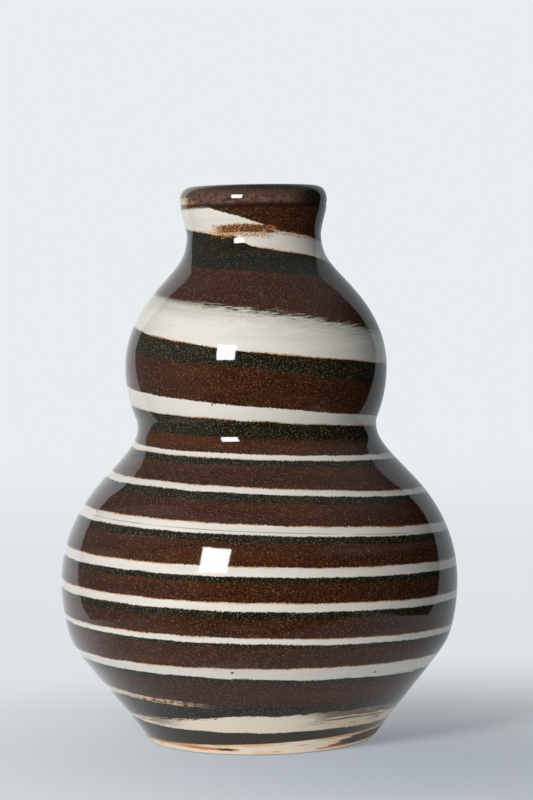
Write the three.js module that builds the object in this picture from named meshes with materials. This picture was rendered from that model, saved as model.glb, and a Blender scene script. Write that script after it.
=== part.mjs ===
// A double gourd vase thrown from marbled clay, in millimetres, with +Z up.
// It stands on the XY plane with its axis on Z and its front towards -Y.
// Cream, black and brown clay lie through the whole wall in one falling spiral.
// The spiral is parted at the back into single turns, and each turn of each clay is one solid.
import * as THREE from 'three';

// Outer form: two oval bulbs over a tapered foot, drawn in to a neck
const VASE_HEIGHT = 180;
const FOOT_RADIUS = 36.6;
const FOOT_TAPER = 0.772;
const FOOT_BLEND = 3;
const LOWER_BULB_RADIUS = 64.8;
const LOWER_BULB_HEIGHT = 51.7;
const LOWER_BULB_RISE = 53.7;
const LOWER_BULB_DROP = 63.3;
const WAIST_BLEND = 33;
const UPPER_BULB_RADIUS = 42.7;
const UPPER_BULB_HEIGHT = 121.2;
const UPPER_BULB_RISE = 37.7;
const UPPER_BULB_DROP = 42.8;
const SHOULDER_BLEND = 16.6;
const NECK_RADIUS = 21.9;
const NECK_DROP = 16.3;
const NECK_REACH = 9;
const NECK_FLARE = 3.7;

// Lip: a rolled edge over a shallow groove
const LIP_DEPTH = 6.8;
const LIP_SWELL = 0.15;
const LIP_SHOULDER = 4.6;
const LIP_ROUND_OUT = 3.8;
const LIP_ROUND_DOWN_IN = 3;

// Wall, heel and foot
const WALL = 4.5;
const HEEL_THICKENING = 2.5;
const HEEL_HEIGHT = 30;
const JOINT_RISE = 0.8;
const FOOT_RISE = 4.2;
const FOOT_TILT = 1.6;
const WEDGE_DEPTH = 4;
const WEDGE_START_ANGLE = 15;
const WEDGE_END_ANGLE = 150;
const WEDGE_TAPER = 15;
const FOOT_BEVEL = 0.7;
const FOOT_RING_WIDTH = 5.5;
const FOOT_RECESS = 1.5;
const FLOOR_THICKNESS = 3.6;
const FLOOR_COVE = 4;

// Spiral of clays, from the lip's seat down to the foot, as it falls from left to right.
// edge: heights of the cream clay's upper edge, at the guide angle left of the front, at the
// front, and as far right of it. cream and black: their depths at places spread from left to right.
const GUIDE_ANGLE = 60;
const SPIRAL_START = 173.2;
const SPIRAL_END = 2;
const TURNS = [
  { edge: [165.3, 165.4, 162.7], cream: [0, 5.4, 6.6], black: [10.1, 7.8, 6.5] },
  { edge: [144.2, 139.8, 133.5], cream: [11.1, 12.9, 10.7], black: [6.7, 5, 6.6] },
  { edge: [114.4, 109.9, 105.9], cream: [6, 3.5], black: [6.2, 4.3] },
  { edge: [97.1, 95.1, 93.4], cream: [1.6, 1.6], black: [2.2, 1.9] },
  { edge: [88, 85.4, 82.5], cream: [1.9, 1.8], black: [2.4, 2.4] },
  { edge: [77.4, 74.7, 71.5], cream: [3.2, 2.8], black: [2.2, 2.2] },
  { edge: [64.5, 62.3, 59.9], cream: [3.1, 2.9], black: [1.9, 1.9] },
  { edge: [53.7, 51.5, 49.2], cream: [2.8, 2.5], black: [2.4, 2.4] },
  { edge: [42.6, 40.6, 38.3], cream: [1.8, 2.1], black: [1.3, 1.3] },
  { edge: [32.1, 30.8, 29.4], cream: [2.8, 4.3], black: [1.8, 1.5] },
  { edge: [20.2, 17.6, 16.4], cream: [2.7, 1.5], black: [4.2, 8] },
  { edge: [11.5, 13.9, 13.7], cream: [2.4, 5.8, 6.8], black: [11, 11] },
];

// Where the cream clay runs out to a tip and begins again: turn, angle and length of each taper
const CREAM_RUNS = [
  { from: { turn: 0, angle: -30, taper: 30 }, to: { turn: 10, angle: -20, taper: 70 } },
  { from: { turn: 11, angle: -120, taper: 80 }, to: { turn: 11, angle: 110, taper: 60 } },
];
const BLACK_TAPER = 80;
const TONGUE_LIFT_ANGLE = -40;
const TONGUE_TIP_ANGLE = 30;

// Fineness of the solids
const STEPS = 36;
const ROW_HEIGHT = 6;
const LIP_ARC_STEPS = 4;
const THINNEST_LAYER = 0.25;

const CLAYS = {
  cream: new THREE.MeshStandardMaterial({ color: 0xded8cc, roughness: 0.12, metalness: 0 }),
  black: new THREE.MeshStandardMaterial({ color: 0x1c1c14, roughness: 0.12, metalness: 0 }),
  brown: new THREE.MeshStandardMaterial({ color: 0x40271a, roughness: 0.12, metalness: 0 }),
  bare: new THREE.MeshStandardMaterial({ color: 0xe4cdb8, roughness: 0.75, metalness: 0 }),
};

const lipSeat = VASE_HEIGHT - LIP_DEPTH;
const neckHeight = VASE_HEIGHT - NECK_DROP;
const floorHeight = FOOT_RECESS + FLOOR_THICKNESS;
const stretch = lipSeat / SPIRAL_START;
const halfTurn = STEPS / 2;
const stepAngle = 360 / STEPS;
const tongueLift = Math.round(TONGUE_LIFT_ANGLE / stepAngle);
const tongueTip = Math.round(TONGUE_TIP_ANGLE / stepAngle);

// The larger of two values, rounded over where they come within the reach of each other
function smoothMax(a, b, reach) {
  const near = Math.max(reach - Math.abs(a - b), 0) / reach;
  return Math.max(a, b) + near ** 3 * reach / 6;
}

function smoothMin(a, b, reach) {
  return -smoothMax(-a, -b, reach);
}

function oval(z, radius, height, rise, drop) {
  const share = Math.min(Math.abs(z - height) / (z > height ? rise : drop), 1);
  return radius * Math.sqrt(1 - share * share);
}

// The foot's cone widens by a share of the lower bulb's radius over its drop. The neck is a round
// hollow that widens over its reach above and below, and no further.
function outerRadius(z) {
  const lowerOval = oval(z, LOWER_BULB_RADIUS, LOWER_BULB_HEIGHT, LOWER_BULB_RISE, LOWER_BULB_DROP);
  const taper = FOOT_TAPER * LOWER_BULB_RADIUS / LOWER_BULB_DROP;
  const lower = smoothMin(lowerOval, FOOT_RADIUS + taper * z, FOOT_BLEND);
  const upper = oval(z, UPPER_BULB_RADIUS, UPPER_BULB_HEIGHT, UPPER_BULB_RISE, UPPER_BULB_DROP);
  const away = (z - neckHeight) / NECK_REACH;
  const neck = NECK_RADIUS + NECK_FLARE * away ** 2 / (1 + away ** 2);
  return smoothMax(smoothMax(lower, upper, WAIST_BLEND), neck, SHOULDER_BLEND);
}

function innerRadius(z) {
  const heel = Math.max(1 - z / HEEL_HEIGHT, 0);
  return outerRadius(z) - WALL - HEEL_THICKENING * heel;
}

// A joint between two clays runs through the wall and rises a little towards the inside, where it
// lies no lower than the floor
function outerPoint(z) {
  return [outerRadius(z), z];
}

function innerPoint(z) {
  const inside = Math.max(z + JOINT_RISE, floorHeight);
  return [innerRadius(inside), inside];
}

// A smooth curve through guide points [x, y], level beyond its ends
function curveThrough(points, x) {
  const last = points.length - 1;
  if (x <= points[0][0]) return points[0][1];
  if (x >= points[last][0]) return points[last][1];
  const i = points.findIndex((point) => point[0] > x) - 1;
  const slope = (a, b) => (points[b][1] - points[a][1]) / (points[b][0] - points[a][0]);
  const slopeIn = slope(Math.max(i - 1, 0), i + 1);
  const slopeOut = slope(i, Math.min(i + 2, last));
  const width = points[i + 1][0] - points[i][0];
  const t = (x - points[i][0]) / width;
  const rise = points[i + 1][1] - points[i][1];
  const ease = t * t * (3 - 2 * t);
  const bendIn = t * (1 - t) ** 2 * width * slopeIn;
  const bendOut = t * t * (1 - t) * width * slopeOut;
  return points[i][1] + rise * ease + bendIn - bendOut;
}

function easeStep(t) {
  const held = Math.min(Math.max(t, 0), 1);
  return held * held * (3 - 2 * held);
}

const spiralAngle = (turn, angle) => 360 * turn + angle;
const firstAngle = spiralAngle(0, -180);
const lastAngle = spiralAngle(TURNS.length - 1, 180);
const edgeGuides = [
  [firstAngle, SPIRAL_START],
  ...TURNS.flatMap(({ edge }, turn) => edge.map(
    (height, i) => [spiralAngle(turn, (i - 1) * GUIDE_ANGLE), height])),
  [lastAngle, SPIRAL_END],
];
const depthGuides = (clay) => TURNS.flatMap((row, turn) => row[clay].map(
  (depth, i, depths) => [spiralAngle(turn, (2 * i / (depths.length - 1) - 1) * GUIDE_ANGLE), depth]));
const creamGuides = depthGuides('cream');
const blackGuides = depthGuides('black');

// Heights of the joints at a step along the spiral. A layer too thin to throw closes to nothing.
function footTop(step) {
  return FOOT_RISE + FOOT_TILT * Math.sin(THREE.MathUtils.degToRad(step * stepAngle));
}

// The brown wedge lies in the foot's outer edge at one side
function wedgeBottom(step) {
  const angle = THREE.MathUtils.euclideanModulo(step * stepAngle, 360);
  const start = easeStep((angle - WEDGE_START_ANGLE) / WEDGE_TAPER);
  const end = easeStep((WEDGE_END_ANGLE - angle) / WEDGE_TAPER);
  return footTop(step) - WEDGE_DEPTH * Math.min(start, end);
}

function settle(z, level) {
  return Math.abs(z - level) < THINNEST_LAYER ? level : z;
}

function creamTop(step) {
  const floor = footTop(step);
  const z = stretch * curveThrough(edgeGuides, step * stepAngle);
  return settle(settle(Math.min(Math.max(z, floor), lipSeat), floor), lipSeat);
}

function creamDepth(step) {
  const angle = step * stepAngle;
  const shares = CREAM_RUNS.map(({ from, to }) => Math.min(
    easeStep((angle - spiralAngle(from.turn, from.angle)) / from.taper),
    easeStep((spiralAngle(to.turn, to.angle) - angle) / to.taper)));
  return stretch * curveThrough(creamGuides, angle) * Math.max(...shares);
}

function creamBottom(step) {
  const z = Math.max(creamTop(step) - creamDepth(step), footTop(step));
  return settle(settle(z, creamTop(step)), footTop(step));
}

// The black clay swells to take up the cream's room where the cream has run out
function blackBottom(step) {
  const angle = step * stepAngle;
  const share = easeStep((angle - firstAngle) / BLACK_TAPER);
  const depth = stretch * share * (curveThrough(creamGuides, angle) + curveThrough(blackGuides, angle));
  const below = creamTop(step + STEPS);
  const z = Math.max(creamTop(step) - depth, below);
  return settle(settle(z, creamBottom(step)), below);
}

// The first cream tongue hangs from the lip's seat, lifts off it at the left and ends in a tip
function tongueTop(step) {
  if (step <= tongueLift) return lipSeat;
  if (step >= tongueTip) return creamTop(step);
  return THREE.MathUtils.lerp(lipSeat, creamTop(tongueTip), (step - tongueLift) / (tongueTip - tongueLift));
}

// A solid from sections [radius, height] at successive steps round the axis. Each section runs up
// the outside, inwards, and down the inside. A closed ring joins its last section to its first.
function sweptSolid(sections, firstStep, closed) {
  const rings = sections.map((section, index) => {
    const angle = THREE.MathUtils.degToRad((firstStep + index) * stepAngle);
    return section.map(([r, z]) => new THREE.Vector3(r * Math.sin(angle), -r * Math.cos(angle), z));
  });
  const corners = [];
  const triangle = (a, b, c) => {
    const area = b.clone().sub(a).cross(c.clone().sub(a)).length() / 2;
    if (area > 1e-6) corners.push(a, b, c);
  };
  const count = sections[0].length;
  const bands = closed ? rings.length : rings.length - 1;
  for (let k = 0; k < bands; k += 1) {
    const here = rings[k];
    const next = rings[(k + 1) % rings.length];
    for (let i = 0; i < count; i += 1) {
      const j = (i + 1) % count;
      if (sections[k][i][0] >= sections[k][j][0]) {
        triangle(here[i], next[i], next[j]);
        triangle(here[i], next[j], here[j]);
      } else {
        triangle(here[i], next[i], here[j]);
        triangle(next[i], next[j], here[j]);
      }
    }
  }
  if (!closed) {
    const final = rings[rings.length - 1];
    for (let i = 0; i < count / 2 - 1; i += 1) {
      const j = count - 1 - i;
      triangle(rings[0][i], rings[0][i + 1], rings[0][j - 1]);
      triangle(rings[0][i], rings[0][j - 1], rings[0][j]);
      triangle(final[i], final[j - 1], final[i + 1]);
      triangle(final[i], final[j], final[j - 1]);
    }
  }
  const geometry = new THREE.BufferGeometry().setFromPoints(corners);
  geometry.computeVertexNormals();
  return geometry;
}

const vase = new THREE.Group();

function addSolid(name, clay, geometry) {
  const mesh = new THREE.Mesh(geometry, CLAYS[clay].clone());
  mesh.name = name;
  vase.add(mesh);
}

// Sections of a layer through the whole wall, and of a wedge that thins to nothing at the inside
function wallSection(heights) {
  return [...heights.map(outerPoint), ...heights.map(innerPoint).reverse()];
}

function wedgeSection(heights) {
  const tip = innerPoint(heights[heights.length - 1]);
  return [...heights.map(outerPoint), ...heights.map(() => tip)];
}

// The stretch of a layer that has some depth becomes one solid. A layer that has run out is left out
function addLayer(name, clay, firstStep, lastStep, top, bottom, toSection = wallSection) {
  const depth = (step) => top(step) - bottom(step);
  const steps = Array.from({ length: lastStep - firstStep + 1 }, (_, i) => firstStep + i);
  const rows = Math.max(1, Math.round(Math.max(...steps.map(depth)) / ROW_HEIGHT));
  const levels = Array.from({ length: rows + 1 }, (_, row) => row / rows);
  const deep = steps.filter((step) => depth(step) > 0);
  if (!deep.length) return;
  const run = steps.filter((step) => step >= deep[0] - 1 && step <= deep[deep.length - 1] + 1);
  const sections = run.map(
    (step) => toSection(levels.map((level) => THREE.MathUtils.lerp(bottom(step), top(step), level))));
  addSolid(name, clay, sweptSolid(sections, run[0], false));
}

function addLip() {
  const [seatOut] = outerPoint(lipSeat);
  const [seatIn, seatInHeight] = innerPoint(lipSeat);
  const roundUp = VASE_HEIGHT - LIP_SHOULDER;
  const crest = seatOut + LIP_SWELL - LIP_ROUND_OUT;
  const inStart = VASE_HEIGHT - LIP_ROUND_DOWN_IN;
  const arc = Array.from({ length: LIP_ARC_STEPS }, (_, i) => (Math.PI / 2) * (i / LIP_ARC_STEPS));
  const section = [
    [seatOut, lipSeat],
    [seatOut + LIP_SWELL, (lipSeat + roundUp) / 2],
    ...arc.map((a) => [crest + LIP_ROUND_OUT * Math.cos(a), roundUp + LIP_SHOULDER * Math.sin(a)]),
    ...arc.map((a) => [crest - (crest - seatIn) * Math.sin(a), inStart + LIP_ROUND_DOWN_IN * Math.cos(a)]),
    [seatIn, inStart],
    [seatIn, seatInHeight],
  ];
  addSolid('lip', 'brown', sweptSolid(Array(STEPS).fill(section), 0, true));
}

// The foot is a disc of cream clay with a turned ring to stand on
function addFoot() {
  const ringInside = FOOT_RADIUS - FOOT_RING_WIDTH;
  const sections = Array.from({ length: STEPS }, (_, step) => {
    const inside = innerPoint(footTop(step));
    return [
      [0, FOOT_RECESS],
      [ringInside, FOOT_RECESS],
      [ringInside, 0],
      [FOOT_RADIUS - FOOT_BEVEL, 0],
      [outerRadius(FOOT_BEVEL), FOOT_BEVEL],
      outerPoint(wedgeBottom(step)),
      inside,
      [inside[0] - FLOOR_COVE, floorHeight],
      [0, floorHeight],
    ];
  });
  addSolid('foot_disc', 'bare', sweptSolid(sections, 0, true));
}

addLip();
addLayer('neck_cream_tongue', 'cream', -halfTurn, tongueTip, tongueTop, creamTop);
addLayer('neck_brown_turn', 'brown', tongueLift, halfTurn, () => lipSeat, tongueTop);
TURNS.forEach((_, turn) => {
  const number = String(turn + 1).padStart(2, '0');
  const firstStep = turn * STEPS - halfTurn;
  const lastStep = turn * STEPS + halfTurn;
  const nextTop = (step) => creamTop(step + STEPS);
  addLayer(`cream_turn_${number}`, 'cream', firstStep, lastStep, creamTop, creamBottom);
  addLayer(`black_turn_${number}`, 'black', firstStep, lastStep, creamBottom, blackBottom);
  addLayer(`brown_turn_${number}`, 'brown', firstStep, lastStep, blackBottom, nextTop);
});
addLayer('foot_brown_wedge', 'brown', 0, halfTurn, footTop, wedgeBottom, wedgeSection);
addFoot();

export default vase;
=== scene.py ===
# %% [markdown]
# # A double gourd vase of marbled clay
#
# Wedges of cream, black and brown clay were stacked and thrown together on a potter's wheel. The
# spin drew them into one falling spiral, so each clay runs right through the wall as a layer.
# A solid model gives every piece its place and size. This lesson gives the pieces their finish:
# a fine surface, clays with drag marks and specks, a clear gloss glaze and a bare foot.
# Lengths in the formulas are millimetres, as on a maker's drawing, and Blender's are metres.

# %% Load the solids as a fixed frame
import math

import bmesh
import bpy
import numpy as np
from mathutils import Euler, Matrix, Vector


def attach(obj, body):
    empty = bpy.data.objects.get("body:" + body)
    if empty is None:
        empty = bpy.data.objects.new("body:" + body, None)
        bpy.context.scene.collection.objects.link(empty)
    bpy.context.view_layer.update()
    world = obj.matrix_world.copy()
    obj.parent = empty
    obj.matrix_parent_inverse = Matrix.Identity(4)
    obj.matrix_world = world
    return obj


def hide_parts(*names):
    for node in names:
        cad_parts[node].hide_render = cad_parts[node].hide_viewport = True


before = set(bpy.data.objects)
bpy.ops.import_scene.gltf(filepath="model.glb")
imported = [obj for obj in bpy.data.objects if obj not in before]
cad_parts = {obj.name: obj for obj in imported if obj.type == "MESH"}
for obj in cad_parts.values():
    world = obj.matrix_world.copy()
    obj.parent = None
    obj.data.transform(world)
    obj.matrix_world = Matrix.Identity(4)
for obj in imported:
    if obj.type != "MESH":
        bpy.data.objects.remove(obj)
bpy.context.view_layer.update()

MM = 0.001
WELD_DISTANCE = 1e-6

# %% [markdown]
# ## Sums on sockets
#
# A formula is easy to read in Python and hard to read as a web of Math nodes. So one small class
# wraps a node's output and overloads Python's operators: a sum on it adds the Math node that does
# the sum. Every other node comes from one method, which takes its type, settings and inputs.

# %% A wire and the graph it belongs to
class Wire:
    """The output of a node. Python's operators on it add Math nodes."""

    def __init__(self, graph, socket):
        self.graph = graph
        self.socket = socket

    def other(self, name):
        return Wire(self.graph, self.socket.node.outputs[name])

    def sum(self, operation, *values):
        inputs = dict(enumerate(values))
        return self.graph.node("ShaderNodeMath", {"operation": operation}, inputs)

    def __add__(self, value):
        return self.sum("ADD", self, value)

    def __radd__(self, value):
        return self.sum("ADD", value, self)

    def __sub__(self, value):
        return self.sum("SUBTRACT", self, value)

    def __rsub__(self, value):
        return self.sum("SUBTRACT", value, self)

    def __mul__(self, value):
        return self.sum("MULTIPLY", self, value)

    def __rmul__(self, value):
        return self.sum("MULTIPLY", value, self)

    def __truediv__(self, value):
        return self.sum("DIVIDE", self, value)

    def __rtruediv__(self, value):
        return self.sum("DIVIDE", value, self)

    def __pow__(self, value):
        return self.sum("POWER", self, value)

    def __neg__(self):
        return self.sum("MULTIPLY", self, -1.0)


class Graph:
    """A node tree while it is being built."""

    def __init__(self, tree):
        self.tree = tree

    def node(self, kind, settings=None, inputs=None, output=0):
        made = self.tree.nodes.new(kind)
        for name, setting in (settings or {}).items():
            setattr(made, name, setting)
        for key, value in (inputs or {}).items():
            if isinstance(value, Wire):
                self.tree.links.new(value.socket, made.inputs[key])
            else:
                made.inputs[key].default_value = value
        return Wire(self, made.outputs[output]) if len(made.outputs) else made

    def vector(self, x, y, z):
        return self.node("ShaderNodeCombineXYZ", None, {0: x, 1: y, 2: z})

    def split(self, vector):
        parts = self.node("ShaderNodeSeparateXYZ", None, {0: vector})
        return parts, parts.other(1), parts.other(2)


# %% Formulas that take numbers or wires
def either(operation, numeric, *values):
    wires = [value for value in values if isinstance(value, Wire)]
    return wires[0].sum(operation, *values) if wires else numeric(*values)


def larger(a, b):
    return either("MAXIMUM", np.maximum, a, b)


def smaller(a, b):
    return either("MINIMUM", np.minimum, a, b)


def magnitude(a):
    return either("ABSOLUTE", np.abs, a)


def root(a):
    return either("SQRT", np.sqrt, a)


def is_more(a, b):
    return either("GREATER_THAN", lambda x, y: np.where(x > y, 1.0, 0.0), a, b)


def smooth_max(a, b, reach):
    near = larger(reach - magnitude(a - b), 0.0) / reach
    return larger(a, b) + near ** 3 * reach / 6


def smooth_min(a, b, reach):
    return -smooth_max(-a, -b, reach)


# %% [markdown]
# ## The form on the wheel
#
# The outline is a rule: two ovals over a tapered foot, blended at the waist and drawn in to a neck.
# It could be drawn by hand as a curve, but the rule says why each place is as wide as it is, and
# the same formula then serves both as numbers here and as nodes in the tree that turns the pieces.

# %% Sizes of the form in millimetres
FORM = {
    "vase_height": 180.0,
    "foot_radius": 36.6,
    "foot_taper": 0.772,
    "foot_blend": 3.0,
    "lower_bulb_radius": 64.8,
    "lower_bulb_height": 51.7,
    "lower_bulb_rise": 53.7,
    "lower_bulb_drop": 63.3,
    "waist_blend": 33.0,
    "upper_bulb_radius": 42.7,
    "upper_bulb_height": 121.2,
    "upper_bulb_rise": 37.7,
    "upper_bulb_drop": 42.8,
    "shoulder_blend": 16.6,
    "neck_radius": 21.9,
    "neck_drop": 16.3,
    "neck_reach": 9.0,
    "neck_flare": 3.7,
    "lip_depth": 6.8,
    "wall": 4.5,
    "heel_thickening": 2.5,
    "heel_height": 30.0,
    "joint_rise": 0.8,
    "floor_height": 5.1,
}
LIP_SEAT = FORM["vase_height"] - FORM["lip_depth"]


def oval(z, radius, height, rise, drop):
    reach = drop + (rise - drop) * is_more(z, height)
    share = smaller(magnitude(z - height) / reach, 1.0)
    return radius * root(1 - share * share)


def bulb(z, form, name):
    sizes = [form[f"{name}_{size}"] for size in ("radius", "height", "rise", "drop")]
    return oval(z, *sizes)


def outer_radius(z, form):
    taper = form["foot_taper"] * form["lower_bulb_radius"] / form["lower_bulb_drop"]
    foot = form["foot_radius"] + taper * z
    lower = smooth_min(bulb(z, form, "lower_bulb"), foot, form["foot_blend"])
    body = smooth_max(lower, bulb(z, form, "upper_bulb"), form["waist_blend"])
    neck_height = form["vase_height"] - form["neck_drop"]
    away = (z - neck_height) / form["neck_reach"]
    hollow = away * away / (1 + away * away)
    neck = form["neck_radius"] + form["neck_flare"] * hollow
    return smooth_max(body, neck, form["shoulder_blend"])


def inner_radius(z, form):
    heel = larger(1 - z / form["heel_height"], 0.0)
    return outer_radius(z, form) - form["wall"] - form["heel_thickening"] * heel


def inside_height(z, form):
    """A joint rises towards the inside, where it lies no lower than the floor."""
    return larger(z + form["joint_rise"], form["floor_height"])


WAIST_HEIGHT = 100.0
MEASURED = {
    "foot": 0.0,
    "lower bulb": FORM["lower_bulb_height"],
    "waist": WAIST_HEIGHT,
    "upper bulb": FORM["upper_bulb_height"],
    "neck": FORM["vase_height"] - FORM["neck_drop"],
}
for place, height in MEASURED.items():
    print(place, "is", round(2 * float(outer_radius(np.float64(height), FORM)), 1), "mm across")

# %% [markdown]
# ## The spiral of clays
#
# Each clay's edge is a smooth curve through a few heights per turn: left of the front, at the
# front and right of it. The cream clay runs out in a wisp low on the front and begins again in
# the last turn. Every edge is a function of the angle along the spiral, so pieces that touch
# share their edge, and a turn's end is the next turn's beginning.

# %% Heights of the cream clay's upper edge, and depths of the cream and the black clay
GUIDE_ANGLE = 60.0
SPIRAL_START = 173.2
SPIRAL_END = 2.0
EDGES = [
    (165.3, 165.4, 162.7), (144.2, 139.8, 133.5), (114.4, 109.9, 105.9), (97.1, 95.1, 93.4),
    (88, 85.4, 82.5), (77.4, 74.7, 71.5), (64.5, 62.3, 59.9), (53.7, 51.5, 49.2),
    (42.6, 40.6, 38.3), (32.1, 30.8, 29.4), (20.2, 17.6, 16.4), (11.5, 13.9, 13.7),
]
CREAM = [
    (0, 5.4, 6.6), (11.1, 12.9, 10.7), (6, 3.5), (1.6, 1.6), (1.9, 1.8), (3.2, 2.8),
    (3.1, 2.9), (2.8, 2.5), (1.8, 2.1), (2.8, 4.3), (2.7, 1.5), (2.4, 5.8, 6.8),
]
BLACK = [
    (10.1, 7.8, 6.5), (6.7, 5, 6.6), (6.2, 4.3), (2.2, 1.9), (2.4, 2.4), (2.2, 2.2),
    (1.9, 1.9), (2.4, 2.4), (1.3, 1.3), (1.8, 1.5), (4.2, 8), (11, 11),
]
# Where the cream clay runs: first turn and angle, its taper, last turn and angle, its taper
CREAM_RUNS = [((0, -30, 30), (10, -20, 70)), ((11, -120, 80), (11, 110, 60))]
BLACK_TAPER = 80.0
TONGUE_LIFT_ANGLE = -40.0
TONGUE_TIP_ANGLE = 30.0
TONGUE_BLUNTNESS = 26.0
THINNEST = 0.02
TURNS = len(EDGES)


def curve_through(points, x):
    """A smooth curve through points, whose slope at each point is that between its neighbours."""
    xs, ys = np.array(points, float).T
    index = np.arange(len(xs))
    before = np.maximum(index - 1, 0)
    after = np.minimum(index + 1, index[-1])
    slopes = (ys[after] - ys[before]) / (xs[after] - xs[before])
    left = np.clip(np.searchsorted(xs, x, side="right") - 1, 0, index[-1] - 1)
    width = xs[left + 1] - xs[left]
    t = np.clip((x - xs[left]) / width, 0, 1)
    rise = (ys[left + 1] - ys[left]) * t * t * (3 - 2 * t)
    bend_in = t * (1 - t) ** 2 * width * slopes[left]
    bend_out = t * t * (1 - t) * width * slopes[left + 1]
    return ys[left] + rise + bend_in - bend_out


def ease(t):
    held = np.clip(t, 0, 1)
    return held * held * (3 - 2 * held)


def depth_guides(rows):
    guides = []
    for turn, depths in enumerate(rows):
        places = np.linspace(-GUIDE_ANGLE, GUIDE_ANGLE, len(depths))
        guides += [(360 * turn + place, depth) for place, depth in zip(places, depths)]
    return guides


FIRST_ANGLE = -180.0
LAST_ANGLE = 360.0 * (TURNS - 1) + 180.0
EDGE_GUIDES = [(FIRST_ANGLE, SPIRAL_START)]
for turn, heights in enumerate(EDGES):
    EDGE_GUIDES += [(360 * turn + (i - 1) * GUIDE_ANGLE, z) for i, z in enumerate(heights)]
EDGE_GUIDES.append((LAST_ANGLE, SPIRAL_END))
CREAM_GUIDES = depth_guides(CREAM)
BLACK_GUIDES = depth_guides(BLACK)


# %% The edges as functions of the angle along the spiral
def cream_edge(angle):
    return curve_through(EDGE_GUIDES, angle)


def cream_depth(angle):
    share = np.zeros_like(angle)
    for (turn, start, taper), (last_turn, end, last_taper) in CREAM_RUNS:
        begins = ease((angle - 360 * turn - start) / taper)
        ends = ease((360 * last_turn + end - angle) / last_taper)
        share = np.maximum(share, np.minimum(begins, ends))
    return curve_through(CREAM_GUIDES, angle) * share


def black_edge(angle):
    depth = curve_through(CREAM_GUIDES, angle) + curve_through(BLACK_GUIDES, angle)
    return cream_edge(angle) - ease((angle - FIRST_ANGLE) / BLACK_TAPER) * depth


def tongue_edge(angle):
    tip = cream_edge(np.array(TONGUE_TIP_ANGLE))
    share = (angle - TONGUE_LIFT_ANGLE) / (TONGUE_TIP_ANGLE - TONGUE_LIFT_ANGLE)
    slope = LIP_SEAT + (tip - LIP_SEAT) * np.clip(share, 0, 1)
    blunt = ease((TONGUE_TIP_ANGLE - angle) / TONGUE_BLUNTNESS)
    return cream_edge(angle) + (slope - cream_edge(angle)) * blunt


# %% The joints, held between the foot and the lip
FOOT_RISE = 4.2
FOOT_TILT = 1.6
WEDGE_DEPTH = 4.0
WEDGE_ANGLES = (15.0, 150.0)
WEDGE_TAPER = 15.0


def foot_top(angle):
    return FOOT_RISE + FOOT_TILT * np.sin(np.radians(angle))


def wedge_bottom(angle):
    around = np.mod(angle, 360)
    start = ease((around - WEDGE_ANGLES[0]) / WEDGE_TAPER)
    end = ease((WEDGE_ANGLES[1] - around) / WEDGE_TAPER)
    return foot_top(angle) - WEDGE_DEPTH * np.minimum(start, end)


def settle(z, level):
    """A layer thinner than any mesh should be is closed."""
    return np.where(np.abs(z - level) < THINNEST, level, z)


def cream_top(angle):
    held = np.clip(cream_edge(angle), foot_top(angle), LIP_SEAT)
    return settle(settle(held, foot_top(angle)), LIP_SEAT)


def cream_bottom(angle):
    held = np.maximum(cream_top(angle) - cream_depth(angle), foot_top(angle))
    return settle(settle(held, cream_top(angle)), foot_top(angle))


def next_cream_top(angle):
    return cream_top(angle + 360)


def black_bottom(angle):
    below = next_cream_top(angle)
    return settle(settle(np.maximum(black_edge(angle), below), cream_bottom(angle)), below)


def tongue_top(angle):
    return np.maximum(tongue_edge(angle), cream_top(angle))


def lip_seat(angle):
    return np.full_like(angle, LIP_SEAT)


fall = cream_edge(np.array(360.0 * 4)) - cream_edge(np.array(360.0 * 5))
print("turns:", TURNS, "and the fifth falls", round(float(fall), 1), "mm")

# %% [markdown]
# ## A tree that throws a strip of clay
#
# A turn of clay is made flat first, as a strip: its angle along X, its depth in the wall along Y
# and its height along Z. A Geometry Nodes tree then throws it on the wheel: it reads those three
# as a place in the wall, works out the radius there and sets the turned position. The sizes are
# named inputs, so one tree throws all the turns.

# %% Build the throwing tree
def title(name):
    return name.replace("_", " ").title()


def new_input(tree, name, kind):
    return tree.interface.new_socket(name=name, in_out="INPUT", socket_type=kind)


def throwing_tree():
    tree = bpy.data.node_groups.new("throw on the wheel", "GeometryNodeTree")
    new_input(tree, "Strip", "NodeSocketGeometry")
    for name, size in FORM.items():
        new_input(tree, title(name), "NodeSocketFloat").default_value = size
    new_input(tree, "Clay", "NodeSocketMaterial")
    tree.interface.new_socket(name="Turn", in_out="OUTPUT", socket_type="NodeSocketGeometry")
    graph = Graph(tree)
    given = graph.node("NodeGroupInput")
    form = {name: given.other(title(name)) for name in FORM}
    place = graph.node("GeometryNodeInputPosition")
    degrees, inwards, height = graph.split(place)
    angle = degrees * (math.pi / 180)
    outside = outer_radius(height, form)
    lifted = inside_height(height, form)
    inside = inner_radius(lifted, form)
    radius = outside + (inside - outside) * inwards
    x = radius * angle.sum("SINE", angle)
    y = -radius * angle.sum("COSINE", angle)
    turned = graph.vector(x, y, height + (lifted - height) * inwards)
    metres = graph.node("ShaderNodeVectorMath", {"operation": "SCALE"}, {0: turned, "Scale": MM})
    thrown = graph.node("GeometryNodeSetPosition", None, {"Geometry": given, "Position": metres})
    welding = {"Geometry": thrown, "Distance": WELD_DISTANCE}
    welded = graph.node("GeometryNodeMergeByDistance", None, welding)
    real = graph.node("GeometryNodeRealizeInstances", None, {"Geometry": welded})
    clay = given.other("Clay")
    glazed = graph.node("GeometryNodeSetMaterial", None, {"Geometry": real, "Material": clay})
    graph.node("NodeGroupOutput", None, {0: glazed})
    return tree


THROWING = throwing_tree()
print("the throwing tree has", len(THROWING.nodes), "nodes")

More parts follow.
